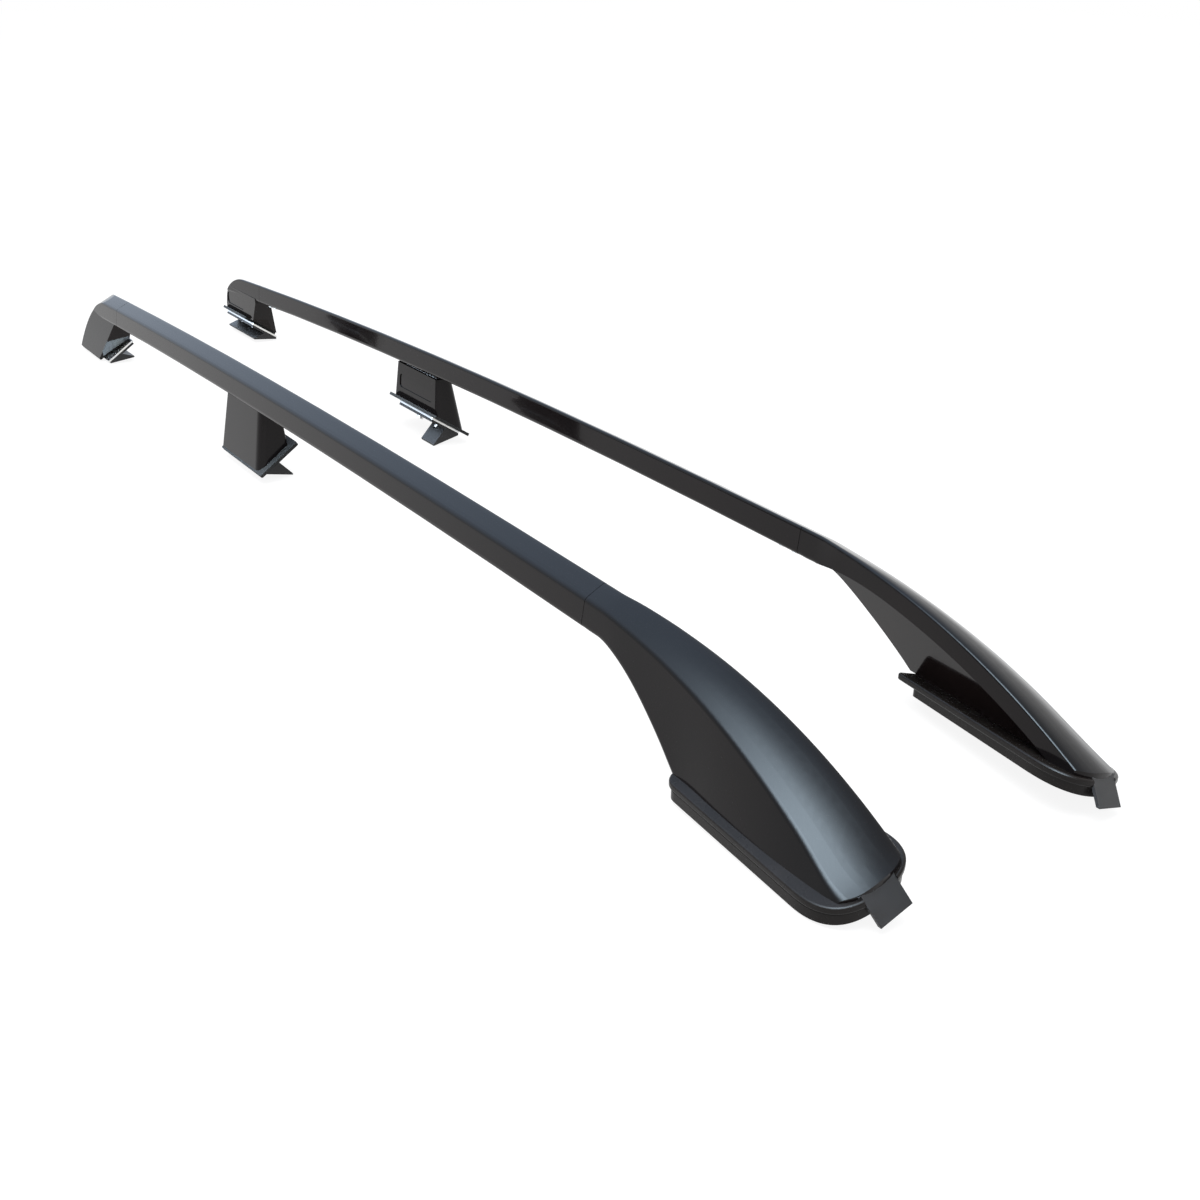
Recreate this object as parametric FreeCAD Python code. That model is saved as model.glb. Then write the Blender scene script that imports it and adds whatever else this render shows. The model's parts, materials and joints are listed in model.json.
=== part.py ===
import FreeCAD, Part
import math
import os

Vector = FreeCAD.Vector

# Lengths along one rail, from the rear pad's end to the nose of the front cover
REAR_COVER_LENGTH = 150.0
BAR_LENGTH = 1275.0
FRONT_COVER_LENGTH = 343.0
SEAM_GAP = 0.6

# Height of the plane that all heights below are measured from, above the ground under the lowest jaw
DATUM_HEIGHT = 1.5

# Crown of the bar, whose plane leans so that the ends bow inwards, and its inner top edge, the crest
CROWN_RADIUS = 20070.0
CROWN_STATION = 1152.0
CROWN_LEAN = 13.6
CREST_HEIGHT = 124.0
CREST_OFFSET = 110.5

# Section of the bar, measured from the crest
TOP_RUN = 22.0
TOP_FALL = 11.0
SIDE_RUN = 4.0
OUTER_DEPTH = 37.5
INNER_RUN = 3.0
INNER_DEPTH = 27.5
TOP_CROWN_SHARE = 0.02
TOP_SOFT = 8.0
CREST_SOFT = 4.0
SHOULDER_SOFT = 3.0
BELLY_SOFT = 6.0
HEEL_SOFT = 4.0
SMALLEST_SOFT = 0.8
LARGEST_SHARE = 0.48
BAR_WALL = 2.5

# Front cover: its crest and its shoulder sweep down from the bar to the nose
COVER_WALL = 2.6
COLLAR_LENGTH = 24.0
NOSE_HEIGHT = 37.0
NOSE_SLOPE = -0.60
NOSE_INNER = 94.5
INNER_SWEEP = -0.10
SHOULDER_SLOPE = -0.07
KNEE_SETBACK = 58.0
KNEE_OFFSET = 144.5
KNEE_HEIGHT = 44.0
KNEE_SLOPE = -0.5
KNEE_FLARE = 0.07
TIP_OFFSET = 146.0
TIP_HEIGHT = 20.0
TIP_SLOPE = -0.1
TIP_TURN = -0.25
TOP_EASE = 0.3
COVER_CROWN_SHARE = 0.07
COVER_BLEND = 150.0
COVER_SHOULDER_SOFT = 3.2

# Front cover: its side widens to the rim and its underside falls to the sole
RIM_OUTER = 155.5
RIM_FLARE = 0.05
RIM_SETBACK = 45.0
SOLE_SETBACK = 188.0
SOLE_START_SLOPE = -0.1
SOLE_SLOPE = -0.9
SOLE_HEIGHT = 5.0
COVER_STEPS = 16
COLLAR_STEPS = 3
CAVITY_SETBACK = 40.0
TRIM_REACH = 60.0

# Leaning recessed panel on the inner side of the front cover
RIM_DEPTH = 20.0
RIM_BLEND = 60.0
PANEL_SETBACK = 201.0
PANEL_OFFSET = 126.9
PANEL_HEIGHT = 30.0
PANEL_TURN = -0.127
PANEL_LEAN = -0.32
PANEL_STEPS = 8

# Front base under the shoe: it lies in a plane that falls to the outside, levels are square to that plane
BASE_TILT = 17.5
BASE_LEVEL = 48.0
BASE_HEIGHT = 14.5
BEAD_HEIGHT = 6.5
BEAD_RADIUS = 2.0
BODY_INSET = 1.0
COVER_SETBACK = 3.5
BASE_TIP_SETBACK = 208.0
BASE_TIP_ACROSS = 95.0
BASE_TIP_SOFT = 4.0
BODY_TIP_SETBACK = 190.0
BASE_INNER_REACH = 3.0
BASE_INNER_ACROSS = 60.0
BASE_INNER_SOFT = 50.0
BASE_OUTER_REACH = 2.0
BASE_OUTER_ACROSS = 152.5
BASE_OUTER_SOFT = 46.0
BASE_HEEL_SETBACK = 201.5
BASE_HEEL_ACROSS = 140.0
BASE_HEEL_SOFT = 11.0

# Folded strip: a tail under the shoe, a wide head at the nose and the tongue that hangs from it
STRIP_THICKNESS = 2.5
STRIP_WIDTH = 30.5
STRIP_ACROSS = 108.0
HEAD_SETBACK = 46.0
TAIL_WIDTH = 15.0
TAIL_SETBACK = 150.0
BEND_SETBACK = 3.0
TONGUE_LEAN = 37.0
TONGUE_DROP = 21.0

# Cast foot inside the shoe and its spigot in the bar
BRACKET_GAP = 2.0
BRACKET_SETBACK = 60.0
SPIGOT_LENGTH = 45.0
FIT = 0.15
ROOF_TAP_RADIUS = 3.4
ROOF_TAP_DEPTH = 16.0
ROOF_BOLT_CLEAR_RADIUS = 4.5
ROOF_BOLT_SETBACK = 115.0
ROOF_BOLT_ACROSS = 118.0

# Screws
SCREW_RADIUS = 2.5
SCREW_CLEARANCE = 0.1
SCREW_HEAD_RADIUS = 4.5
SCREW_HEAD_HEIGHT = 2.5
SCREW_GRIP = 12.0
SPIGOT_SCREW_FIRST = 15.0
SPIGOT_SCREW_PITCH = 18.0
BASE_SCREW_SPREAD = 24.0
BASE_SCREW_SEAT = 7.0

# Sloped soles of the middle and rear feet, and how far each foot stands above the ground
FOOT_OUTER = 148.0
FOOT_OUTER_HEIGHT = 3.5
FOOT_INNER = 97.0
FOOT_INNER_HEIGHT = 38.0
REAR_LIFT = 0.5
MID_LIFT = 7.0
PAD_THICKNESS = 4.0
PAD_SOFT = 3.0
PLATE_THICKNESS = 2.5
PLATE_MARGIN = 6.0
PLATE_SOFT = 3.0

# Clamp jaw under each sole: a notch that opens to the inside takes the roof's flange
JAW_MARGIN = 2.0
JAW_THICKNESS = 3.5
JAW_HEEL = 3.0
NOTCH_INSET = 30.0
JAW_TIP_OFFSET = 100.0
JAW_TIP_THICKNESS = 2.0
BOLT_RADIUS = 3.0
BOLT_INSET = 26.0
BOLT_GRIP = 9.0
BOLT_SEAT = 2.0
BOLT_HEAD_RADIUS = 5.0
BOLT_HEAD_HEIGHT = 5.0

# Shallow panel let into the inner face of each foot's cover
RECESS_DEPTH = 1.2
RECESS_MARGIN = 9.0
RECESS_SOFT = 6.0

# Middle foot
MID_STATION = 682.0
MID_PAD_LENGTH = 129.0
MID_COVER_LEAD = -5.5
MID_COVER_LENGTH = 123.0
MID_COVER_TOP_LENGTH = 110.0
MID_COVER_SOFT = 12.0
MID_CORNER_SOFT = 4.0
MID_TOP_DEPTH = 32.0
MID_TOP_OUTER = 133.5
MID_TOP_INNER = 108.5
MID_COVER_INNER = 100.0
MID_POST_LENGTH = 84.0
MID_JAW_LENGTH = 92.0
MID_JAW_LEAD = -14.0
MID_JAW_TIP_RISE = 0.0
MID_HOOK_LENGTH = 34.0
MID_BOLT_PITCH = 50.0
MID_BOLT_LEAD = 2.0
MID_SCREW_PITCH = 24.0
POST_SCREW_RADIUS = 3.0
POST_SCREW_HEAD_RADIUS = 5.0
POST_SCREW_HEAD_HEIGHT = 6.0
POST_SCREW_SEAT = 10.0
NUT_PLATE_LENGTH = 56.0
NUT_PLATE_WIDTH = 12.0
NUT_PLATE_THICKNESS = 4.0

# Rear foot
REAR_PAD_LENGTH = 96.0
REAR_LEG_MARGIN = 1.0
REAR_LEG_TOP_REACH = 40.0
REAR_ROUND_START = 30.0
REAR_ROUND_LENGTH = 92.0
REAR_ROUND_LEAN = 5.0
REAR_ROUND_DROP = 8.0
REAR_ROUND_EXIT = 1.0
LEG_OVERLAP = 8.0
LEG_TUCK = 0.6
LEG_EXTENSION = 0.5
REAR_JAW_LENGTH = 112.0
REAR_JAW_LEAD = 24.0
REAR_JAW_TIP_RISE = 6.0
REAR_BOLT_PITCH = 44.0

# Reach of the cutting tools beyond the pieces they cut, a long one and a short one
BEYOND = 60.0
CLEAR = 1.0

# How nearly two directions agree when level faces are picked out
LEVEL_MATCH = 0.1

# Stations along the rail that follow from the lengths
REAR_SEAM = REAR_COVER_LENGTH
FRONT_SEAM = REAR_SEAM + BAR_LENGTH
COLLAR_END = FRONT_SEAM + COLLAR_LENGTH
NOSE = FRONT_SEAM + FRONT_COVER_LENGTH
KNEE = NOSE - KNEE_SETBACK
BEND = NOSE - BEND_SETBACK
TONGUE_TAN = math.tan(math.radians(TONGUE_LEAN))
TONGUE_SKEW = STRIP_THICKNESS / math.cos(math.radians(TONGUE_LEAN))
OVERALL_LENGTH = BEND + TONGUE_DROP * TONGUE_TAN

ORIGIN = Vector(0.0, 0.0, 0.0)
ACROSS = Vector(0.0, 1.0, 0.0)
UP = Vector(0.0, 0.0, 1.0)
ALONG = Vector(1.0, 0.0, 0.0)
LEAN_SIN = math.sin(math.radians(CROWN_LEAN))
LEAN_COS = math.cos(math.radians(CROWN_LEAN))
TILT_SIN = math.sin(math.radians(BASE_TILT))
TILT_COS = math.cos(math.radians(BASE_TILT))
TILT_ACROSS = Vector(0.0, TILT_COS, -TILT_SIN)
TILT_UP = Vector(0.0, TILT_SIN, TILT_COS)


# Places and plain solids


def place(station, offset, height):
    """Point of the left rail: station from the rear, offset from the middle, height above the datum."""
    return Vector(station - OVERALL_LENGTH / 2.0, offset, height + DATUM_HEIGHT)


def tilt_place(station, across, level):
    """Point in the tilted frame of the front base."""
    return place(station, 0.0, 0.0).add(TILT_ACROSS * across).add(TILT_UP * level)


CROWN_AXIS = Vector(0.0, LEAN_COS, -LEAN_SIN)
CROWN_UP = Vector(0.0, LEAN_SIN, LEAN_COS)
CROWN_CENTRE = place(CROWN_STATION, CREST_OFFSET, CREST_HEIGHT).sub(CROWN_UP * CROWN_RADIUS)


def crown_angle(station):
    return math.degrees((station - CROWN_STATION) / CROWN_RADIUS)


def crown_sag(station):
    return CROWN_RADIUS * (1.0 - math.cos((station - CROWN_STATION) / CROWN_RADIUS))


def crest_height(station):
    return CREST_HEIGHT - crown_sag(station) * LEAN_COS


def crest_offset(station):
    return CREST_OFFSET - crown_sag(station) * LEAN_SIN


def crest_slope(station):
    return -math.sin((station - CROWN_STATION) / CROWN_RADIUS) * LEAN_COS


def at_station(shape, station):
    """Swing a shape built at the crown round to its own station."""
    return shape.rotated(CROWN_CENTRE, CROWN_AXIS, crown_angle(station))


def prism(corners, sweep):
    return Part.Face(Part.makePolygon(corners + corners[:1])).extrude(sweep)


def box(low, high):
    size = high.sub(low)
    return Part.makeBox(size.x, size.y, size.z, low)


def rod(radius, start, end):
    return Part.makeCylinder(radius, end.sub(start).Length, start, end.sub(start))


def blend(start, end, share):
    return start + (end - start) * share


def centred(centre, length):
    return centre - length / 2.0, centre + length / 2.0


def smooth(share):
    held = min(max(share, 0.0), 1.0)
    return held * held * (3.0 - 2.0 * held)


def hermite(share, span, start, start_slope, end, end_slope):
    """Cubic from start to end over a span, with the given slopes at its two ends."""
    held = min(max(share, 0.0), 1.0)
    rise = smooth(held)
    lead = held * (1.0 - held) * (1.0 - held) * span
    trail = held * held * (held - 1.0) * span
    return start * (1.0 - rise) + end * rise + start_slope * lead + end_slope * trail


# Outlines with softened corners


def soft_wire(corners, softs):
    """Closed wire whose corners are eased by a pair of reaches, one along each of the two sides."""
    count = len(corners)
    ends = []
    for index in range(count):
        corner = corners[index]
        before = corners[index - 1].sub(corner)
        after = corners[(index + 1) % count].sub(corner)
        reach_before = min(softs[index][0], LARGEST_SHARE * before.Length)
        reach_after = min(softs[index][1], LARGEST_SHARE * after.Length)
        ends.append((
            corner.add(before.multiply(reach_before / before.Length)),
            corner.add(after.multiply(reach_after / after.Length)),
        ))
    edges = []
    for index in range(count):
        curve = Part.BezierCurve()
        curve.setPoles([ends[index][0], corners[index], ends[index][1]])
        edges.append(curve.toShape())
        edges.append(Part.makeLine(ends[index][1], ends[(index + 1) % count][0]))
    return Part.Wire(edges)


def even(soft):
    return (soft, soft)


def inset_polygon(points, distance):
    """Move every side of a polygon inwards by a distance."""
    count = len(points)
    area = 0.0
    for index in range(count):
        here = points[index]
        there = points[(index + 1) % count]
        area += here[0] * there[1] - there[0] * here[1]
    turn = math.copysign(1.0, area)
    sides = []
    for index in range(count):
        here = points[index]
        there = points[(index + 1) % count]
        run = there[0] - here[0]
        rise = there[1] - here[1]
        length = math.hypot(run, rise)
        shift = (-turn * rise / length * distance, turn * run / length * distance)
        sides.append((here[0] + shift[0], here[1] + shift[1], run, rise))
    corners = []
    for index in range(count):
        x1, y1, run1, rise1 = sides[index - 1]
        x2, y2, run2, rise2 = sides[index]
        share = ((x2 - x1) * rise2 - (y2 - y1) * run2) / (run1 * rise2 - rise1 * run2)
        corners.append((x1 + run1 * share, y1 + rise1 * share))
    return corners


def cut_all(shape, tools):
    for tool in tools:
        shape = shape.cut(tool)
    return shape


def fuse_all(shapes):
    whole = shapes[0]
    for shape in shapes[1:]:
        whole = whole.fuse(shape)
    return whole.removeSplitter()


# Section of the bar and of the pieces that plug into it



def crowned(crest, shoulder, share):
    """Crest, middle and shoulder of a top whose middle stands proud by a share of its length."""
    run = shoulder[0] - crest[0]
    rise = shoulder[1] - crest[1]
    middle = (crest[0] + run / 2.0 - rise * share, crest[1] + rise / 2.0 + run * share)
    return [crest, middle, shoulder]


HEEL = (-INNER_RUN, -INNER_DEPTH)
BELLY = (TOP_RUN + SIDE_RUN, -OUTER_DEPTH)
SECTION = crowned((0.0, 0.0), (TOP_RUN, -TOP_FALL), TOP_CROWN_SHARE) + [BELLY, HEEL]
SECTION_SOFTS = [CREST_SOFT, TOP_SOFT, SHOULDER_SOFT, BELLY_SOFT, HEEL_SOFT]
UNDER_RUN = TOP_RUN + SIDE_RUN + INNER_RUN
UNDER_FALL = OUTER_DEPTH - INNER_DEPTH
UNDER_LENGTH = math.hypot(UNDER_RUN, UNDER_FALL)


def bar_wire(inset, station):
    corners = []
    for run, rise in inset_polygon(SECTION, inset):
        corners.append(place(CROWN_STATION, CREST_OFFSET + run, CREST_HEIGHT + rise))
    softs = [even(max(soft - inset, SMALLEST_SOFT)) for soft in SECTION_SOFTS]
    return at_station(soft_wire(corners, softs), station)


def bar_solid(inset, start, end):
    face = Part.Face(bar_wire(inset, start))
    return face.revolve(CROWN_CENTRE, CROWN_AXIS, crown_angle(end) - crown_angle(start))


def under_point(shift, depth):
    """Point at the crown station: a shift from the middle of the bar's underside and a depth below it."""
    along = UNDER_LENGTH / 2.0 + shift
    run = HEEL[0] + (UNDER_RUN * along - UNDER_FALL * depth) / UNDER_LENGTH
    rise = HEEL[1] - (UNDER_FALL * along + UNDER_RUN * depth) / UNDER_LENGTH
    return place(CROWN_STATION, CREST_OFFSET + run, CREST_HEIGHT + rise)


def under_rod(radius, station, start, end):
    return at_station(rod(radius, under_point(0.0, start), under_point(0.0, end)), station)


# Stations of the screws in the bar

FRONT_SPIGOT_SCREWS = [FRONT_SEAM - SPIGOT_SCREW_FIRST - SPIGOT_SCREW_PITCH * turn for turn in range(2)]
REAR_SPIGOT_SCREWS = [REAR_SEAM + SPIGOT_SCREW_FIRST + SPIGOT_SCREW_PITCH * turn for turn in range(2)]
MID_SCREWS = [MID_STATION + MID_SCREW_PITCH * side / 2.0 for side in (-1.0, 1.0)]
SPIGOT_INSET = max(BAR_WALL, COVER_WALL) + FIT


def screw_holes(stations, radius, depth):
    return [under_rod(radius + SCREW_CLEARANCE, station, BEYOND / 2.0, -depth) for station in stations]


def spigot_screw(station):
    head = under_rod(SCREW_HEAD_RADIUS, station, SCREW_HEAD_HEIGHT, 0.0)
    shank = under_rod(SCREW_RADIUS, station, 0.0, -SCREW_GRIP)
    return fuse_all([head, shank])


def rail_bar():
    bore = bar_solid(BAR_WALL, REAR_SEAM - CLEAR, FRONT_SEAM + CLEAR)
    tube = bar_solid(0.0, REAR_SEAM, FRONT_SEAM).cut(bore)
    spigot_holes = screw_holes(FRONT_SPIGOT_SCREWS + REAR_SPIGOT_SCREWS, SCREW_RADIUS, SCREW_GRIP)
    post_holes = screw_holes(MID_SCREWS, POST_SCREW_RADIUS, SCREW_GRIP)
    return cut_all(tube, spigot_holes + post_holes)


# Front cover


def crest_line(station):
    """Offset and height of the cover's inner top edge."""
    span = NOSE - COLLAR_END
    share = (station - COLLAR_END) / span
    height = hermite(share, span, crest_height(COLLAR_END), crest_slope(COLLAR_END), NOSE_HEIGHT, NOSE_SLOPE)
    offset = hermite(share, span, crest_offset(COLLAR_END), INNER_SWEEP, NOSE_INNER, 0.0)
    return offset, height


def shoulder_line(station):
    """Offset and height of the crease between the cover's top and its side."""
    if station < KNEE:
        span = KNEE - COLLAR_END
        share = (station - COLLAR_END) / span
        start = (crest_offset(COLLAR_END) + TOP_RUN, crest_height(COLLAR_END) - TOP_FALL)
        height = hermite(share, span, start[1], SHOULDER_SLOPE, KNEE_HEIGHT, KNEE_SLOPE)
        return hermite(share, span, start[0], 0.0, KNEE_OFFSET, KNEE_FLARE), height
    share = (station - KNEE) / KNEE_SETBACK
    height = hermite(share, KNEE_SETBACK, KNEE_HEIGHT, KNEE_SLOPE, TIP_HEIGHT, TIP_SLOPE)
    return hermite(share, KNEE_SETBACK, KNEE_OFFSET, KNEE_FLARE, TIP_OFFSET, TIP_TURN), height


def cover_points(station):
    """Crest, crown, shoulder, outer lower corner and inner lower corner of the cover's section."""
    crest = crest_line(station)
    crown = blend(TOP_CROWN_SHARE, COVER_CROWN_SHARE, smooth((station - COLLAR_END) / COVER_BLEND))
    rim_span = NOSE - RIM_SETBACK - COLLAR_END
    rim_start = crest_offset(COLLAR_END) + TOP_RUN + SIDE_RUN
    rim = hermite((station - COLLAR_END) / rim_span, rim_span, rim_start, RIM_FLARE, RIM_OUTER, 0.0)
    sole_span = NOSE - SOLE_SETBACK - COLLAR_END
    sole_start = crest_height(COLLAR_END) - OUTER_DEPTH
    sole_share = (station - COLLAR_END) / sole_span
    sole = hermite(sole_share, sole_span, sole_start, SOLE_START_SLOPE, SOLE_HEIGHT, SOLE_SLOPE)
    inner_rise = blend(OUTER_DEPTH - INNER_DEPTH, 0.0, smooth((station - COLLAR_END) / RIM_BLEND))
    inner = (crest[0] - INNER_RUN, sole + inner_rise)
    return crowned(crest, shoulder_line(station), crown) + [(rim, sole), inner]


def cover_wire(station, inset):
    share = smooth((station - COLLAR_END) / COVER_BLEND)
    points = inset_polygon(cover_points(station), inset)
    top = math.dist(points[0], points[2])
    crest_soft = max(CREST_SOFT - inset, SMALLEST_SOFT)
    softs = [
        (crest_soft, blend(crest_soft, TOP_EASE * top, share)),
        even(max(blend(TOP_SOFT, top / 2.0, share) - inset, SMALLEST_SOFT)),
        even(max(blend(SHOULDER_SOFT, COVER_SHOULDER_SOFT, share) - inset, SMALLEST_SOFT)),
        even(max(BELLY_SOFT - inset, SMALLEST_SOFT)),
        even(max(HEEL_SOFT - inset, SMALLEST_SOFT)),
    ]
    return soft_wire([place(station, offset, height) for offset, height in points], softs)


def cover_loft(inset, start, end):
    """Smooth skin from the bar's own section along the collar to the nose."""
    wires = []
    for step in range(COLLAR_STEPS + 1):
        wires.append(bar_wire(inset, blend(start, COLLAR_END, step / COLLAR_STEPS)))
    for step in range(1, COVER_STEPS + 1):
        wires.append(cover_wire(blend(COLLAR_END, end, step / COVER_STEPS), inset))
    return Part.makeLoft(wires, True, False)


BASE_TOP = BASE_LEVEL + BASE_HEIGHT
STRIP_TOP = BASE_TOP + STRIP_THICKNESS


def base_outline(inset, tip_setback):
    corners = inset_polygon([
        (NOSE - tip_setback, BASE_TIP_ACROSS),
        (NOSE + BASE_INNER_REACH, BASE_INNER_ACROSS),
        (NOSE + BASE_OUTER_REACH, BASE_OUTER_ACROSS),
        (NOSE - BASE_HEEL_SETBACK, BASE_HEEL_ACROSS),
    ], inset)
    softs = [even(soft) for soft in (BASE_TIP_SOFT, BASE_INNER_SOFT, BASE_OUTER_SOFT, BASE_HEEL_SOFT)]
    return soft_wire([tilt_place(station, across, BASE_TOP) for station, across in corners], softs)


def base_prism(inset, tip_setback, high, low):
    """Upright slab of the base's tilted outline, between two rises above the outline's own plane."""
    face = Part.Face(base_outline(inset, tip_setback)).translated(UP * high)
    return face.extrude(UP * (low - high))


def nose_trim(inset):
    """Everything about the nose that lies outside the base's outline."""
    low = place(NOSE - TRIM_REACH, 0.0, -BEYOND)
    high = place(NOSE + BEYOND, BASE_OUTER_ACROSS + BEYOND, CREST_HEIGHT + BEYOND)
    reach = CREST_HEIGHT + BEYOND
    return box(low, high).cut(base_prism(inset, BASE_TIP_SETBACK, reach, -reach))


def below_level(level):
    """Everything under the shoe below a level of the tilted frame."""
    corners = [
        tilt_place(COLLAR_END, -BEYOND, level),
        tilt_place(COLLAR_END, BASE_OUTER_ACROSS + BEYOND, level),
        tilt_place(COLLAR_END, BASE_OUTER_ACROSS + BEYOND, -BEYOND),
        tilt_place(COLLAR_END, -BEYOND, -BEYOND),
    ]
    return prism(corners, ALONG * (NOSE + BEYOND - COLLAR_END))


def panel_offset(station, height):
    turned = PANEL_TURN * (station - NOSE + PANEL_SETBACK)
    return PANEL_OFFSET + turned + PANEL_LEAN * (height - PANEL_HEIGHT)


def panel_side(margin):
    """Everything on the inner side of the leaning panel, moved outwards and rearwards by a margin."""
    start = COLLAR_END - margin
    end = NOSE + BEYOND
    span = CREST_HEIGHT + 2.0 * BEYOND
    corners = [
        place(start, -BEYOND, -BEYOND),
        place(start, panel_offset(start, -BEYOND) + margin, -BEYOND),
        place(end, panel_offset(end, -BEYOND) + margin, -BEYOND),
        place(end, -BEYOND, -BEYOND),
    ]
    return prism(corners, Vector(0.0, PANEL_LEAN * span, span))


def panel_pocket():
    """Space under the overhanging rim, in as far as the panel."""
    points = []
    for step in range(PANEL_STEPS + 1):
        station = blend(COLLAR_END, NOSE, step / PANEL_STEPS)
        depth = blend(INNER_DEPTH, RIM_DEPTH, smooth((station - COLLAR_END) / RIM_BLEND))
        points.append(place(station, 0.0, crest_line(station)[1] - depth))
    rim = Part.BSplineCurve()
    rim.interpolate(points)
    low_start = place(COLLAR_END, 0.0, -BEYOND)
    low_end = place(NOSE, 0.0, -BEYOND)
    edges = [
        rim.toShape(),
        Part.makeLine(points[-1], low_end),
        Part.makeLine(low_end, low_start),
        Part.makeLine(low_start, points[0]),
    ]
    return Part.Face(Part.Wire(edges)).extrude(ACROSS * (RIM_OUTER + BEYOND)).common(panel_side(0.0))


def strip_part(start, end, centre, width, clearance):
    """Flat length of the strip on the base, between two stations."""
    near = centre - width / 2.0 - clearance
    corners = [
        tilt_place(start, near, BASE_TOP - clearance),
        tilt_place(end, near, BASE_TOP - clearance),
        tilt_place(end, near, STRIP_TOP + clearance),
        tilt_place(start, near, STRIP_TOP + clearance),
    ]
    return prism(corners, TILT_ACROSS * (width + 2.0 * clearance))


def strip_solid(clearance):
    """Folded strip: tail, head and the tongue bent down in front of the base."""
    tail = strip_part(NOSE - TAIL_SETBACK - clearance, BEND, ROOF_BOLT_ACROSS, TAIL_WIDTH, clearance)
    start = NOSE - HEAD_SETBACK - clearance
    top = STRIP_TOP + clearance
    bottom = BASE_TOP - clearance
    tip = STRIP_TOP - TONGUE_DROP
    shift = clearance / math.cos(math.radians(TONGUE_LEAN))
    edge = STRIP_ACROSS - STRIP_WIDTH / 2.0 - clearance
    corners = [
        tilt_place(start, edge, bottom),
        tilt_place(BEND - TONGUE_SKEW + (STRIP_TOP - bottom) * TONGUE_TAN - shift, edge, bottom),
        tilt_place(OVERALL_LENGTH - TONGUE_SKEW - shift, edge, tip),
        tilt_place(OVERALL_LENGTH + shift, edge, tip),
        tilt_place(BEND + (STRIP_TOP - top) * TONGUE_TAN + shift, edge, top),
        tilt_place(start, edge, top),
    ]
    head = prism(corners, TILT_ACROSS * (STRIP_WIDTH + 2.0 * clearance))
    return fuse_all([head, tail])


def front_cover():
    shoe = cover_loft(0.0, FRONT_SEAM + SEAM_GAP, NOSE + BASE_INNER_REACH)
    shoe = cut_all(shoe, [below_level(BASE_TOP), nose_trim(COVER_SETBACK), panel_pocket()])
    hollow = cover_loft(COVER_WALL, FRONT_SEAM - CLEAR, NOSE - CAVITY_SETBACK)
    hollow = cut_all(hollow, [panel_side(COVER_WALL), nose_trim(COVER_SETBACK + COVER_WALL)])
    return cut_all(shoe, [hollow, strip_solid(FIT)])


# Front base, strip and cast foot


def front_screw_places():
    return [NOSE - ROOF_BOLT_SETBACK + BASE_SCREW_SPREAD * side for side in (-1.0, 1.0)]


def upright(radius, station, low, high):
    start = tilt_place(station, ROOF_BOLT_ACROSS, low)
    return rod(radius, start, tilt_place(station, ROOF_BOLT_ACROSS, high))


def front_screw_holes(top):
    radius = SCREW_RADIUS + SCREW_CLEARANCE
    return [upright(radius, station, BASE_LEVEL - BEYOND, top) for station in front_screw_places()]


def roof_bolt_hole():
    return upright(ROOF_BOLT_CLEAR_RADIUS, NOSE - ROOF_BOLT_SETBACK, BASE_LEVEL - BEYOND, STRIP_TOP)


def front_base():
    bead = base_prism(0.0, BASE_TIP_SETBACK, 0.0, -BEAD_HEIGHT / TILT_COS)
    rims = []
    for face in bead.Faces:
        if face.normalAt(0.0, 0.0).cross(TILT_UP).Length < LEVEL_MATCH:
            rims.extend(face.Edges)
    bead = bead.makeFillet(BEAD_RADIUS, rims)
    body = base_prism(BODY_INSET, BODY_TIP_SETBACK, -BEAD_HEIGHT / TILT_COS, -BASE_HEIGHT / TILT_COS)
    whole = bead.fuse(body).removeSplitter()
    edge = STRIP_ACROSS - STRIP_WIDTH / 2.0 - FIT
    back = OVERALL_LENGTH - TONGUE_SKEW - FIT
    tip = STRIP_TOP - TONGUE_DROP
    corners = [
        tilt_place(back, edge, tip),
        tilt_place(back - (BASE_TOP - tip) * TONGUE_TAN, edge, BASE_TOP),
        tilt_place(OVERALL_LENGTH + BEYOND, edge, BASE_TOP),
        tilt_place(OVERALL_LENGTH + BEYOND, edge, tip),
    ]
    notch = prism(corners, TILT_ACROSS * (STRIP_WIDTH + 2.0 * FIT))
    seats = []
    for station in front_screw_places():
        radius = SCREW_HEAD_RADIUS + SCREW_CLEARANCE
        seats.append(upright(radius, station, BASE_LEVEL - BEYOND, BASE_LEVEL + BASE_SCREW_SEAT))
    return cut_all(whole, [notch, roof_bolt_hole()] + seats + front_screw_holes(BASE_TOP + CLEAR))


def front_tongue():
    return cut_all(strip_solid(0.0), [roof_bolt_hole()] + front_screw_holes(STRIP_TOP + CLEAR))


def front_bracket():
    inset = COVER_WALL + BRACKET_GAP
    spigot = bar_solid(SPIGOT_INSET, FRONT_SEAM - SPIGOT_LENGTH, FRONT_SEAM)
    arm = cover_loft(inset, FRONT_SEAM - SPIGOT_LENGTH / 2.0, NOSE - BRACKET_SETBACK)
    arm = cut_all(arm, [panel_side(inset), nose_trim(COVER_SETBACK + inset), below_level(STRIP_TOP)])
    whole = fuse_all([spigot, arm])
    tap = upright(ROOF_TAP_RADIUS, NOSE - ROOF_BOLT_SETBACK, STRIP_TOP - CLEAR, STRIP_TOP + ROOF_TAP_DEPTH)
    holes = screw_holes(FRONT_SPIGOT_SCREWS, SCREW_RADIUS, SCREW_GRIP)
    return cut_all(whole, [tap] + holes + front_screw_holes(STRIP_TOP + SCREW_GRIP))


def front_base_screws():
    seat = BASE_LEVEL + BASE_SCREW_SEAT
    screws = []
    for station in front_screw_places():
        head = upright(SCREW_HEAD_RADIUS, station, seat - SCREW_HEAD_HEIGHT, seat)
        shank = upright(SCREW_RADIUS, station, seat, STRIP_TOP + SCREW_GRIP)
        screws.append(fuse_all([head, shank]))
    return Part.makeCompound(screws)


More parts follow.
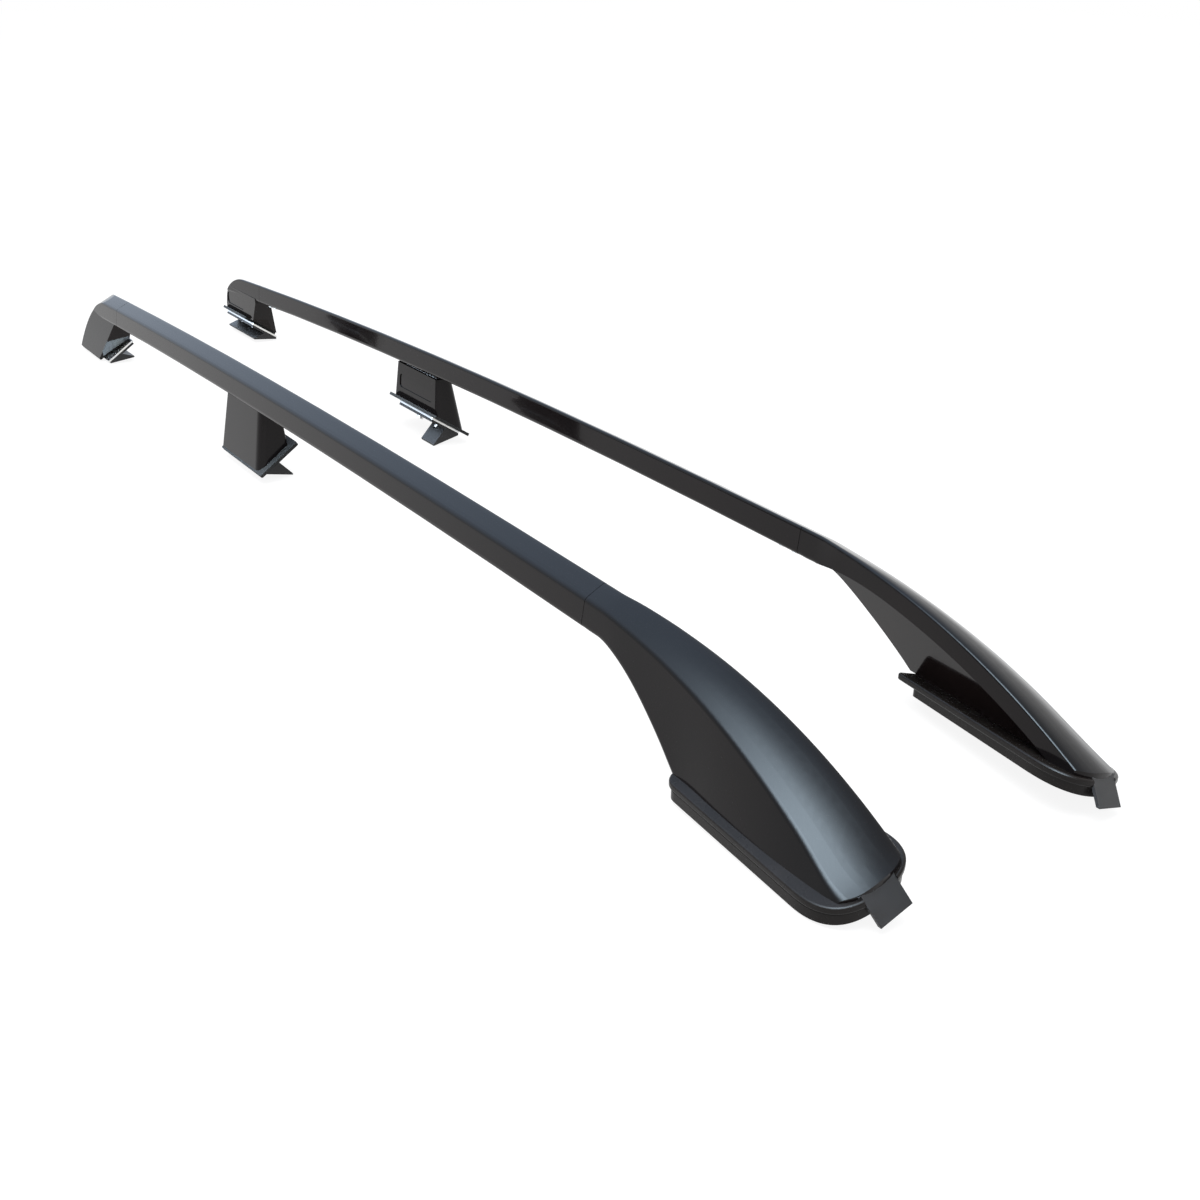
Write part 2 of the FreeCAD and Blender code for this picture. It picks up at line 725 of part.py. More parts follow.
# Sloped sole of a foot at its lift: distances along it run inwards from the outer edge, depths run down

SOLE_RUN = FOOT_OUTER - FOOT_INNER
SOLE_RISE = FOOT_INNER_HEIGHT - FOOT_OUTER_HEIGHT
SOLE_WIDTH = math.hypot(SOLE_RUN, SOLE_RISE)


def sole_point(station, along, depth, lift):
    offset = FOOT_OUTER - (SOLE_RUN * along + SOLE_RISE * depth) / SOLE_WIDTH
    height = FOOT_OUTER_HEIGHT + lift + (SOLE_RISE * along - SOLE_RUN * depth) / SOLE_WIDTH
    return place(station, offset, height)


def sole_rod(radius, station, start, end, lift):
    top = sole_point(station, BOLT_INSET, start, lift)
    return rod(radius, top, sole_point(station, BOLT_INSET, end, lift))


def sole_slab(start, end, near, far, depth, thickness, soft, lift):
    corners = [
        sole_point(start, near, depth, lift),
        sole_point(end, near, depth, lift),
        sole_point(end, far, depth, lift),
        sole_point(start, far, depth, lift),
    ]
    down = sole_point(start, near, depth + thickness, lift).sub(corners[0])
    return Part.Face(soft_wire(corners, [even(soft)] * 4)).extrude(down)


def bolt_stations(centre, pitch):
    return [centre - pitch / 2.0, centre + pitch / 2.0]


def bolt_holes(stations, lift):
    radius = BOLT_RADIUS + SCREW_CLEARANCE
    return [sole_rod(radius, station, -BOLT_GRIP, BEYOND, lift) for station in stations]


JAW_DEPTH = PAD_THICKNESS + PLATE_THICKNESS
HEAD_DEPTH = JAW_DEPTH + BOLT_SEAT


def foot_pad(start, end, stations, lift):
    slab = sole_slab(start, end, 0.0, SOLE_WIDTH, 0.0, PAD_THICKNESS, PAD_SOFT, lift)
    return cut_all(slab, bolt_holes(stations, lift))


def clamp_plate(start, end, stations, lift):
    far = SOLE_WIDTH - PLATE_MARGIN
    slab = sole_slab(start, end, PLATE_MARGIN, far, PAD_THICKNESS, PLATE_THICKNESS, PLATE_SOFT, lift)
    return cut_all(slab, bolt_holes(stations, lift))


def clamp_jaw(start, hook_start, end, stations, lift, tip_rise):
    """Jaw bar under the plate, with a hook below its notch over the front part of its length."""
    inner = SOLE_WIDTH - PLATE_MARGIN - JAW_MARGIN
    outer = PLATE_MARGIN + JAW_MARGIN
    bar_depth = JAW_DEPTH + JAW_THICKNESS
    bar = sole_slab(start, end, outer, inner, JAW_DEPTH, JAW_THICKNESS, SMALLEST_SOFT, lift)
    tip = tip_rise - DATUM_HEIGHT
    top = sole_point(hook_start, outer, JAW_DEPTH, lift)
    hook = [
        top,
        sole_point(hook_start, NOTCH_INSET, JAW_DEPTH, lift),
        sole_point(hook_start, NOTCH_INSET, bar_depth, lift),
        place(hook_start, JAW_TIP_OFFSET, tip + JAW_TIP_THICKNESS),
        place(hook_start, JAW_TIP_OFFSET, tip),
        top.sub(UP * JAW_HEEL),
    ]
    jaw = fuse_all([bar, prism(hook, ALONG * (end - hook_start))])
    seats = []
    for station in stations:
        seats.append(sole_rod(BOLT_HEAD_RADIUS + SCREW_CLEARANCE, station, HEAD_DEPTH, BEYOND, lift))
    return cut_all(jaw, bolt_holes(stations, lift) + seats)


def clamp_bolts(stations, lift):
    bolts = []
    for station in stations:
        shank = sole_rod(BOLT_RADIUS, station, -BOLT_GRIP, HEAD_DEPTH, lift)
        head = sole_rod(BOLT_HEAD_RADIUS, station, HEAD_DEPTH, HEAD_DEPTH + BOLT_HEAD_HEIGHT, lift)
        bolts.append(fuse_all([shank, head]))
    return Part.makeCompound(bolts)


def below_sole(lift):
    """Everything under the plane of a foot's sole."""
    corners = [
        sole_point(-BEYOND, -BEYOND, 0.0, lift),
        sole_point(-BEYOND, SOLE_WIDTH + BEYOND, 0.0, lift),
        sole_point(-BEYOND, SOLE_WIDTH + BEYOND, CREST_HEIGHT + BEYOND, lift),
        sole_point(-BEYOND, -BEYOND, CREST_HEIGHT + BEYOND, lift),
    ]
    return prism(corners, ALONG * (FRONT_SEAM + 2.0 * BEYOND))


# Middle foot

MID_BOLTS = bolt_stations(MID_STATION + MID_BOLT_LEAD, MID_BOLT_PITCH)


def mid_block(inset):
    """Tapered block of the middle cover with its upright edges eased, from the ground up into the bar."""
    top = crest_height(MID_STATION) - MID_TOP_DEPTH
    wires = []
    for height, length, outer, inner in (
        (0.0, MID_COVER_LENGTH, FOOT_OUTER, MID_COVER_INNER),
        (top, MID_COVER_TOP_LENGTH, MID_TOP_OUTER, MID_TOP_INNER),
    ):
        start, end = centred(MID_STATION + MID_COVER_LEAD, length - 2.0 * inset)
        corners = [
            place(start, outer - inset, height),
            place(end, outer - inset, height),
            place(end, inner + inset, height),
            place(start, inner + inset, height),
        ]
        softs = [MID_CORNER_SOFT, MID_COVER_SOFT, MID_CORNER_SOFT, MID_CORNER_SOFT]
        wires.append(soft_wire(corners, [even(max(soft - inset, SMALLEST_SOFT)) for soft in softs]))
    return Part.makeLoft(wires, True, True)


def bar_near_middle(clearance):
    """Outer form of the bar about the middle foot, grown by a clearance."""
    return bar_solid(-clearance, MID_STATION - MID_COVER_LENGTH, MID_STATION + MID_COVER_LENGTH)


def recess(corners, soft):
    """Tool for a shallow panel in an inner face, from its corners on that face."""
    face = Part.Face(soft_wire(corners, [even(RECESS_SOFT)] * 3 + [even(soft)]))
    return face.translated(ACROSS * -CLEAR).extrude(ACROSS * (CLEAR + RECESS_DEPTH))


def mid_recess():
    top = crest_height(MID_STATION) - MID_TOP_DEPTH
    low = FOOT_INNER_HEIGHT + MID_LIFT + RECESS_MARGIN
    high = crest_height(MID_STATION) - OUTER_DEPTH - RECESS_MARGIN
    start, end = centred(MID_STATION + MID_COVER_LEAD, MID_COVER_TOP_LENGTH - 2.0 * RECESS_MARGIN)
    corners = []
    for station, height in ((start, low), (end, low), (end, high), (start, high)):
        corners.append(place(station, blend(MID_COVER_INNER, MID_TOP_INNER, height / top), height))
    return recess(corners, RECESS_SOFT)


def mid_cover():
    tools = [below_sole(MID_LIFT), mid_block(COVER_WALL), bar_near_middle(FIT), mid_recess()]
    return cut_all(mid_block(0.0), tools)


def mid_post():
    start, end = centred(MID_STATION, MID_POST_LENGTH)
    slice_low = place(start, 0.0, -BEYOND)
    slice_high = place(end, FOOT_OUTER + BEYOND, CREST_HEIGHT)
    post = mid_block(COVER_WALL + BRACKET_GAP).common(box(slice_low, slice_high))
    post = cut_all(post, [below_sole(MID_LIFT), bar_near_middle(0.0)])
    seats = []
    for station in MID_SCREWS:
        radius = POST_SCREW_HEAD_RADIUS + SCREW_CLEARANCE
        seats.append(under_rod(radius, station, POST_SCREW_SEAT, BEYOND + POST_SCREW_SEAT))
    holes = screw_holes(MID_SCREWS, POST_SCREW_RADIUS, SCREW_GRIP)
    return cut_all(post, seats + holes + bolt_holes(MID_BOLTS, MID_LIFT))


def mid_rail_screws():
    screws = []
    for station in MID_SCREWS:
        end = POST_SCREW_SEAT + POST_SCREW_HEAD_HEIGHT
        head = under_rod(POST_SCREW_HEAD_RADIUS, station, POST_SCREW_SEAT, end)
        shank = under_rod(POST_SCREW_RADIUS, station, POST_SCREW_SEAT, -BAR_WALL - NUT_PLATE_THICKNESS)
        screws.append(fuse_all([head, shank]))
    return Part.makeCompound(screws)


def mid_nut_plate():
    half = NUT_PLATE_WIDTH / 2.0
    corners = [
        under_point(-half, -BAR_WALL),
        under_point(half, -BAR_WALL),
        under_point(half, -BAR_WALL - NUT_PLATE_THICKNESS),
        under_point(-half, -BAR_WALL - NUT_PLATE_THICKNESS),
    ]
    start, end = centred(MID_STATION, NUT_PLATE_LENGTH)
    face = at_station(Part.Face(Part.makePolygon(corners + corners[:1])), start)
    strip = face.revolve(CROWN_CENTRE, CROWN_AXIS, crown_angle(end) - crown_angle(start))
    return cut_all(strip, screw_holes(MID_SCREWS, POST_SCREW_RADIUS, BEYOND / 2.0))


# Rear foot

REAR_CENTRE = REAR_PAD_LENGTH / 2.0
REAR_BOLTS = bolt_stations(REAR_CENTRE, REAR_BOLT_PITCH)


def stretch(start, end, share):
    """Point on the line from start through end, a share of its length beyond the end."""
    return end.add(end.sub(start).multiply(share))


def rear_inner_edge(inset):
    """Top and foot of the leg's inner face, at its rear end."""
    start = REAR_LEG_MARGIN + inset
    top_offset = crest_offset(REAR_CENTRE) - INNER_RUN + LEG_TUCK + inset
    top = place(start, top_offset, crest_height(REAR_CENTRE) - INNER_DEPTH + LEG_OVERLAP)
    return top, sole_point(start, SOLE_WIDTH - PLATE_MARGIN - inset, 0.0, REAR_LIFT)


def rear_leg(inset):
    """Leg below the bar: its sides lean out to the sole and run on beyond it."""
    crest = crest_height(REAR_CENTRE)
    offset = crest_offset(REAR_CENTRE)
    skin = offset + TOP_RUN + SIDE_RUN * (OUTER_DEPTH - LEG_OVERLAP - TOP_FALL) / (OUTER_DEPTH - TOP_FALL)
    start = REAR_LEG_MARGIN + inset
    end = REAR_PAD_LENGTH - REAR_LEG_MARGIN - inset
    outer_top = place(start, skin - LEG_TUCK - inset, crest - OUTER_DEPTH + LEG_OVERLAP)
    outer_foot = sole_point(start, inset, 0.0, REAR_LIFT)
    inner_top, inner_foot = rear_inner_edge(inset)
    outer_end = stretch(outer_top, outer_foot, LEG_EXTENSION)
    inner_end = stretch(inner_top, inner_foot, LEG_EXTENSION)
    corners = [outer_top, outer_end, inner_end, inner_top]
    leg = prism(corners, ALONG * (end + REAR_LEG_TOP_REACH))
    top = crest - INNER_DEPTH
    front = [
        place(end, 0.0, 0.0),
        place(end + REAR_LEG_TOP_REACH, 0.0, top),
        place(end + REAR_LEG_TOP_REACH, 0.0, top + BEYOND),
        place(end + REAR_LEG_TOP_REACH + BEYOND, 0.0, top + BEYOND),
        place(end + REAR_LEG_TOP_REACH + BEYOND, 0.0, -BEYOND),
        place(end, 0.0, -BEYOND),
    ]
    return leg.cut(prism(front, ACROSS * (FOOT_OUTER + BEYOND)))


def rear_round(inset):
    """Everything behind and above the swept rear edge, which falls to the outside like the bar's top."""
    fall = TOP_FALL / TOP_RUN
    exit_station = REAR_LEG_MARGIN + REAR_ROUND_LENGTH
    rise = crest_offset(exit_station) * fall
    top = crest_height(exit_station) - inset + rise
    start = place(REAR_LEG_MARGIN + inset, 0.0, REAR_ROUND_START + rise)
    end = place(exit_station + inset, 0.0, top + REAR_ROUND_EXIT)
    sweep = Part.BezierCurve()
    sweep.setPoles([start, place(REAR_LEG_MARGIN + REAR_ROUND_LEAN + inset, 0.0, top - REAR_ROUND_DROP), end])
    far_top = place(exit_station + inset, 0.0, top + BEYOND)
    far_back = place(-BEYOND, 0.0, top + BEYOND)
    low_back = place(-BEYOND, 0.0, REAR_ROUND_START + rise)
    edges = [
        sweep.toShape(),
        Part.makeLine(end, far_top),
        Part.makeLine(far_top, far_back),
        Part.makeLine(far_back, low_back),
        Part.makeLine(low_back, start),
    ]
    return Part.Face(Part.Wire(edges)).extrude((ACROSS - UP * fall) * (FOOT_OUTER + BEYOND))


def rear_block(inset, end):
    """Arm and leg in one, with the leg running on past the sole."""
    arm = bar_solid(inset, REAR_LEG_MARGIN + inset, end)
    return arm.fuse(rear_leg(inset)).cut(rear_round(inset)).removeSplitter()


def rear_recess():
    top, foot = rear_inner_edge(0.0)
    drop = top.sub(foot)
    low = foot.add(drop.multiply(RECESS_MARGIN / drop.Length))
    lift = top.sub(low)
    high = low.add(lift.multiply(1.0 - (LEG_OVERLAP + RECESS_SOFT / 2.0) / lift.Length))
    front = ALONG * (REAR_PAD_LENGTH - 2.0 * RECESS_MARGIN)
    rear = ALONG * RECESS_MARGIN
    return recess([low.add(rear), low.add(front), high.add(front), high.add(rear)], 2.0 * RECESS_SOFT)


def rear_cover():
    shell = rear_block(0.0, REAR_SEAM - SEAM_GAP)
    tools = [below_sole(REAR_LIFT), rear_block(COVER_WALL, REAR_SEAM + CLEAR), rear_recess()]
    return cut_all(shell, tools)


def rear_bracket():
    inset = COVER_WALL + BRACKET_GAP
    spigot = bar_solid(SPIGOT_INSET, REAR_SEAM - COLLAR_LENGTH, REAR_SEAM + SPIGOT_LENGTH)
    whole = fuse_all([rear_block(inset, REAR_SEAM - COLLAR_LENGTH), spigot]).cut(below_sole(REAR_LIFT))
    holes = screw_holes(REAR_SPIGOT_SCREWS, SCREW_RADIUS, SCREW_GRIP)
    return cut_all(whole, holes + bolt_holes(REAR_BOLTS, REAR_LIFT))


# Both rails: the left one as built, the right one its mirror image


def pieces():
    mid_start, mid_end = centred(MID_STATION, MID_PAD_LENGTH)
    rear_start, rear_end = centred(REAR_CENTRE, REAR_PAD_LENGTH)
    mid_grip = mid_end + MID_JAW_LEAD
    mid_jaw = mid_grip - MID_JAW_LENGTH
    mid_hook = mid_grip - MID_HOOK_LENGTH
    rear_grip = rear_end + REAR_JAW_LEAD
    rear_jaw = rear_grip - REAR_JAW_LENGTH
    return {
        "rail_bar": rail_bar(),
        "front_cover": front_cover(),
        "front_bracket": front_bracket(),
        "front_spigot_screws": Part.makeCompound([spigot_screw(station) for station in FRONT_SPIGOT_SCREWS]),
        "front_base": front_base(),
        "front_base_screws": front_base_screws(),
        "front_tongue": front_tongue(),
        "rear_cover": rear_cover(),
        "rear_bracket": rear_bracket(),
        "rear_spigot_screws": Part.makeCompound([spigot_screw(station) for station in REAR_SPIGOT_SCREWS]),
        "rear_pad": foot_pad(rear_start, rear_end, REAR_BOLTS, REAR_LIFT),
        "rear_clamp_plate": clamp_plate(rear_jaw, rear_grip, REAR_BOLTS, REAR_LIFT),
        "rear_clamp_jaw": clamp_jaw(rear_jaw, rear_jaw, rear_grip, REAR_BOLTS, REAR_LIFT, REAR_JAW_TIP_RISE),
        "rear_clamp_bolts": clamp_bolts(REAR_BOLTS, REAR_LIFT),
        "mid_cover": mid_cover(),
        "mid_post": mid_post(),
        "mid_nut_plate": mid_nut_plate(),
        "mid_rail_screws": mid_rail_screws(),
        "mid_pad": foot_pad(mid_start, mid_end, MID_BOLTS, MID_LIFT),
        "mid_clamp_plate": clamp_plate(mid_jaw, mid_grip, MID_BOLTS, MID_LIFT),
        "mid_clamp_jaw": clamp_jaw(mid_jaw, mid_hook, mid_grip, MID_BOLTS, MID_LIFT, MID_JAW_TIP_RISE),
        "mid_clamp_bolts": clamp_bolts(MID_BOLTS, MID_LIFT),
    }


def main():
    os.makedirs("parts", exist_ok=True)
    for name, shape in pieces().items():
        shape.exportStep("parts/left_" + name + ".step")
        shape.mirror(ORIGIN, ACROSS).exportStep("parts/right_" + name + ".step")


main()
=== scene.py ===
import bpy
import json
from mathutils import Matrix, Vector

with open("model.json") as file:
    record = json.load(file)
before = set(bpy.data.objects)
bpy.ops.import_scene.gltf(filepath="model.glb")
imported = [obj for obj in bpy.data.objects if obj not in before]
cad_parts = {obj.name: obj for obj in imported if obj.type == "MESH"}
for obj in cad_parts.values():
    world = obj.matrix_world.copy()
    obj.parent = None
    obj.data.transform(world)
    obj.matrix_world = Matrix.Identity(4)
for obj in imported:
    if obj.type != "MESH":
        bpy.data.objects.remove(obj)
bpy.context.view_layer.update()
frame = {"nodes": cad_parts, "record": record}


# Sockets of the colour Mix node

MIX_FIRST = 6
MIX_SECOND = 7
MIX_RESULT = 2

# All surfaces

COAT_ROUGHNESS = 0.04
COAT_IOR = 1.38
BASE_IOR = 1.5
NOISE_BAND = (0.3, 0.7)
NONE_TO_FULL = (0.0, 1.0)

# Gloss black: thin coat, polishing marks, a painted brown reflection of the ground on faces that look
# down, specks and orange peel

GLOSS_COLOUR = (0.006, 0.006, 0.007)
GLOSS_COAT = 0.35
GLOSS_SPECULAR = 0.05
GLOSS_ROUGHNESS = (0.10, 0.19)
POLISH_SCALE = 26.0
POLISH_DETAIL = 4.0
GROUND_TINT_SCALE = 9.0
GROUND_TINT_DETAIL = 3.0
GROUND_TINT_SLOPE = (0.35, -0.25)
GROUND_TINT_SHARE = (0.6, 1.0)
SPECK_SCALE = 1400.0
SPECK_DETAIL = 1.0
SPECK_BAND = (0.68, 0.76)
SPECK_SHARE = (0.0, 0.35)
SPECK_BRIGHTNESS = 2.2
PEEL_DETAIL = 1.0
PEEL_STRENGTH = 0.02
PEEL_HEIGHT = 0.0004

# Satin mouldings: rubbed patches, uneven sheen and a fine grain

RUB_SCALE = 18.0
RUB_DETAIL = 4.0
RUB_BAND = (0.42, 0.72)
SHEEN_SCALE = 60.0
SHEEN_DETAIL = 3.0
GRAIN_HEIGHT = 0.0003

# Bright metal: tinted patches and streaks

TINT_SCALE = 35.0
TINT_DETAIL = 3.0
TINT_BAND = (0.35, 0.7)
STREAK_SCALE = 220.0
STREAK_DETAIL = 2.0
STREAK_STRENGTH = 0.12
STREAK_HEIGHT = 0.0002

# Stage

WHITE = (1.0, 1.0, 1.0)
FLOOR_HALF = 12.0
FLOOR_LEVEL = -0.0005
FLOOR_GLOW = (0.88, 0.88, 0.88)
FLOOR_PALE = (0.22, 0.22, 0.22)
EVEN_GREY = (0.55, 0.56, 0.58)

# Soft patches of sky in the gloss: direction, sharpness and colour

SKY_PATCHES = (
    ((0.15, -0.55, 0.82), 11.0, (22.0, 27.0, 31.0)),
    ((-0.55, -0.10, 0.83), 3.0, (0.70, 1.15, 1.80)),
)

# Overhead lamp

LAMP_PLACE = Vector((0.4, -0.4, 2.6))
LAMP_AIM = Vector((0.0, 0.0, 0.0))
LAMP_SIDE = 2.2
LAMP_POWER = 70.0
LAMP_COLOUR = (0.97, 0.98, 1.0)

# Camera at the photograph's place

PHOTO_SIZE = 1200.0
FOCAL_PIXELS = 1373.215
SHIFT_PIXELS = 4.0
SENSOR_WIDTH = 36.0
CLIP_END = 60.0
CAMERA_PLACE = Vector((1.38570, -0.72054, 0.60843))
CAMERA_RIGHT = Vector((0.57118, 0.82073, 0.01263))
CAMERA_DOWN = Vector((0.36163, -0.23779, -0.90149))
CAMERA_FORWARD = Vector((-0.73688, 0.51947, -0.43262))


# Node helpers


class Graph:
    """Small helper for building a node tree."""

    def __init__(self, tree):
        self.tree = tree
        tree.nodes.clear()

    def node(self, kind, **settings):
        made = self.tree.nodes.new(kind)
        for key, value in settings.items():
            setattr(made, key, value)
        return made

    def link(self, start, end):
        self.tree.links.new(start, end)

    def coords(self):
        return self.node("ShaderNodeTexCoord").outputs["Object"]

    def noise(self, scale, detail, stretch=None):
        source = self.coords()
        if stretch:
            mapping = self.node("ShaderNodeMapping")
            mapping.inputs["Scale"].default_value = stretch
            self.link(source, mapping.inputs["Vector"])
            source = mapping.outputs["Vector"]
        made = self.node("ShaderNodeTexNoise")
        made.inputs["Scale"].default_value = scale
        made.inputs["Detail"].default_value = detail
        self.link(source, made.inputs["Vector"])
        return made.outputs["Fac"]

    def ramp(self, source, given, wanted):
        """Map one range of values to another, held at both ends."""
        made = self.node("ShaderNodeMapRange")
        for key, value in zip(("From Min", "From Max", "To Min", "To Max"), given + wanted):
            made.inputs[key].default_value = value
        self.link(source, made.inputs["Value"])
        return made.outputs["Result"]

    def math(self, operation, first, second):
        made = self.node("ShaderNodeMath", operation=operation)
        for socket, value in zip(made.inputs, (first, second)):
            if isinstance(value, (int, float)):
                socket.default_value = value
            else:
                self.link(value, socket)
        return made.outputs["Value"]

    def mix(self, share, first, second):
        made = self.node("ShaderNodeMix", data_type="RGBA")
        self.link(share, made.inputs["Factor"])
        for index, value in ((MIX_FIRST, first), (MIX_SECOND, second)):
            if isinstance(value, tuple):
                made.inputs[index].default_value = value + (1.0,)
            else:
                self.link(value, made.inputs[index])
        return made.outputs[MIX_RESULT]

    def add_light(self, base, share, colour):
        """Add a share of coloured light to a colour."""
        made = self.node("ShaderNodeMix", data_type="RGBA", blend_type="ADD", clamp_factor=False)
        self.link(share, made.inputs["Factor"])
        self.link(base, made.inputs[MIX_FIRST])
        made.inputs[MIX_SECOND].default_value = colour + (1.0,)
        return made.outputs[MIX_RESULT]

    def lobe(self, direction, centre, sharpness):
        """Soft spot around a direction: one at its centre, fading to nothing at a right angle."""
        made = self.node("ShaderNodeVectorMath", operation="DOT_PRODUCT")
        self.link(direction, made.inputs[0])
        made.inputs[1].default_value = Vector(centre).normalized()
        return self.math("POWER", self.math("MAXIMUM", made.outputs["Value"], 0.0), sharpness)

    def bump(self, height, strength, distance):
        made = self.node("ShaderNodeBump")
        made.inputs["Strength"].default_value = strength
        made.inputs["Distance"].default_value = distance
        self.link(height, made.inputs["Height"])
        return made.outputs["Normal"]

    def background_rays(self):
        """One for camera, glossy and transmission rays, which all see the plain background."""
        path = self.node("ShaderNodeLightPath")
        seen = self.math("MAXIMUM", path.outputs["Is Camera Ray"], path.outputs["Is Glossy Ray"])
        return self.math("MAXIMUM", seen, path.outputs["Is Transmission Ray"])

    def surface(self, metallic=0.0, coat=0.0, specular=0.5):
        shader = self.node("ShaderNodeBsdfPrincipled")
        shader.inputs["Metallic"].default_value = metallic
        shader.inputs["Coat Weight"].default_value = coat
        shader.inputs["Coat Roughness"].default_value = COAT_ROUGHNESS
        shader.inputs["Coat IOR"].default_value = COAT_IOR
        shader.inputs["Specular IOR Level"].default_value = specular
        shader.inputs["IOR"].default_value = BASE_IOR
        out = self.node("ShaderNodeOutputMaterial")
        self.link(shader.outputs["BSDF"], out.inputs["Surface"])
        return shader


def new_material(name):
    material = bpy.data.materials.new(name)
    material.use_nodes = True
    return material, Graph(material.node_tree)


# Materials


def gloss_black(name, ground_reflection_colour, peel_scale):
    """Polished black finish with a faint orange peel, polishing marks and a painted brown reflection of
    the ground on faces that look down.
    """
    material, graph = new_material(name)
    shader = graph.surface(coat=GLOSS_COAT, specular=GLOSS_SPECULAR)
    normal = graph.node("ShaderNodeSeparateXYZ")
    graph.link(graph.node("ShaderNodeNewGeometry").outputs["Normal"], normal.inputs["Vector"])
    # Painted reflection: faces that look down are tinted brown in noisy patches, standing in for the
    # reflected ground
    facing_down = graph.ramp(normal.outputs["Z"], GROUND_TINT_SLOPE, NONE_TO_FULL)
    cloud = graph.ramp(graph.noise(GROUND_TINT_SCALE, GROUND_TINT_DETAIL), NOISE_BAND, GROUND_TINT_SHARE)
    tone = graph.mix(graph.math("MULTIPLY", facing_down, cloud), GLOSS_COLOUR, ground_reflection_colour)
    speck = graph.ramp(graph.noise(SPECK_SCALE, SPECK_DETAIL), SPECK_BAND, SPECK_SHARE)
    tone = graph.mix(speck, tone, tuple(value * SPECK_BRIGHTNESS for value in ground_reflection_colour))
    graph.link(tone, shader.inputs["Base Color"])
    polish = graph.ramp(graph.noise(POLISH_SCALE, POLISH_DETAIL), NOISE_BAND, GLOSS_ROUGHNESS)
    graph.link(polish, shader.inputs["Roughness"])
    peel = graph.bump(graph.noise(peel_scale, PEEL_DETAIL), PEEL_STRENGTH, PEEL_HEIGHT)
    graph.link(peel, shader.inputs["Normal"])
    graph.link(peel, shader.inputs["Coat Normal"])
    return material


def satin_moulding(name, colour, worn, specular, roughness, grain_scale, grain_strength):
    """Moulded black plastic or coated steel with a fine grain and paler rubbed patches."""
    material, graph = new_material(name)
    shader = graph.surface(specular=specular)
    patch = graph.ramp(graph.noise(RUB_SCALE, RUB_DETAIL), RUB_BAND, NONE_TO_FULL)
    graph.link(graph.mix(patch, colour, worn), shader.inputs["Base Color"])
    sheen = graph.ramp(graph.noise(SHEEN_SCALE, SHEEN_DETAIL), NOISE_BAND, roughness)
    graph.link(sheen, shader.inputs["Roughness"])
    cells = graph.node("ShaderNodeTexVoronoi")
    cells.inputs["Scale"].default_value = grain_scale
    graph.link(graph.coords(), cells.inputs["Vector"])
    grain = graph.bump(cells.outputs["Distance"], grain_strength, GRAIN_HEIGHT)
    graph.link(grain, shader.inputs["Normal"])
    return material


def bright_metal(name, colour, tint, roughness, stretch):
    """Cast, rolled or plated metal with streaks and a faint passivation tint."""
    material, graph = new_material(name)
    shader = graph.surface(metallic=1.0)
    patch = graph.ramp(graph.noise(TINT_SCALE, TINT_DETAIL), TINT_BAND, NONE_TO_FULL)
    graph.link(graph.mix(patch, colour, tint), shader.inputs["Base Color"])
    streaks = graph.noise(STREAK_SCALE, STREAK_DETAIL, stretch)
    graph.link(graph.ramp(streaks, NOISE_BAND, roughness), shader.inputs["Roughness"])
    graph.link(graph.bump(streaks, STREAK_STRENGTH, STREAK_HEIGHT), shader.inputs["Normal"])
    return material


FINISHES = {
    # In the gloss black finishes, the second colour is a painted brown reflection of the ground, put on
    # faces that look down
    "bar_paint": (gloss_black, {
        "ground_reflection_colour": (0.024, 0.015, 0.014),
        "peel_scale": 700.0,
    }),
    "cover_gloss": (gloss_black, {
        "ground_reflection_colour": (0.020, 0.013, 0.012),
        "peel_scale": 420.0,
    }),
    "base_satin": (satin_moulding, {
        "colour": (0.013, 0.011, 0.010),
        "worn": (0.021, 0.018, 0.017),
        "specular": 0.15,
        "roughness": (0.20, 0.32),
        "grain_scale": 2600.0,
        "grain_strength": 0.06,
    }),
    "pad_rubber": (satin_moulding, {
        "colour": (0.014, 0.014, 0.014),
        "worn": (0.026, 0.025, 0.024),
        "specular": 0.30,
        "roughness": (0.55, 0.75),
        "grain_scale": 1800.0,
        "grain_strength": 0.25,
    }),
    "cast_alloy": (bright_metal, {
        "colour": (0.52, 0.52, 0.53),
        "tint": (0.44, 0.44, 0.45),
        "roughness": (0.42, 0.60),
        "stretch": (1.0, 1.0, 1.0),
    }),
    "zinc_steel": (bright_metal, {
        "colour": (0.78, 0.79, 0.81),
        "tint": (0.70, 0.69, 0.63),
        "roughness": (0.22, 0.38),
        "stretch": (0.05, 1.0, 1.0),
    }),
    "black_steel": (satin_moulding, {
        "colour": (0.016, 0.016, 0.017),
        "worn": (0.026, 0.025, 0.026),
        "specular": 0.40,
        "roughness": (0.36, 0.50),
        "grain_scale": 1200.0,
        "grain_strength": 0.10,
    }),
}

materials = {slot: make(slot, **look) for slot, (make, look) in FINISHES.items()}
slots = {entry["node"]: entry["material_slot"] for entry in frame["record"]["subparts"]}
for name, piece in frame["nodes"].items():
    piece.data.materials.clear()
    piece.data.materials.append(materials[slots[name]])


# Floor: pale with a faint shadow, the same to the camera, in gloss and through glass


def floor_material():
    material, graph = new_material("floor_pale")
    glow = graph.node("ShaderNodeEmission")
    glow.inputs["Color"].default_value = FLOOR_GLOW + (1.0,)
    matt = graph.node("ShaderNodeBsdfDiffuse")
    matt.inputs["Color"].default_value = FLOOR_PALE + (1.0,)
    pale = graph.node("ShaderNodeAddShader")
    graph.link(glow.outputs["Emission"], pale.inputs[0])
    graph.link(matt.outputs["BSDF"], pale.inputs[1])
    both = graph.node("ShaderNodeMixShader")
    graph.link(graph.background_rays(), both.inputs["Fac"])
    graph.link(matt.outputs["BSDF"], both.inputs[1])
    graph.link(pale.outputs["Shader"], both.inputs[2])
    out = graph.node("ShaderNodeOutputMaterial")
    graph.link(both.outputs["Shader"], out.inputs["Surface"])
    return material


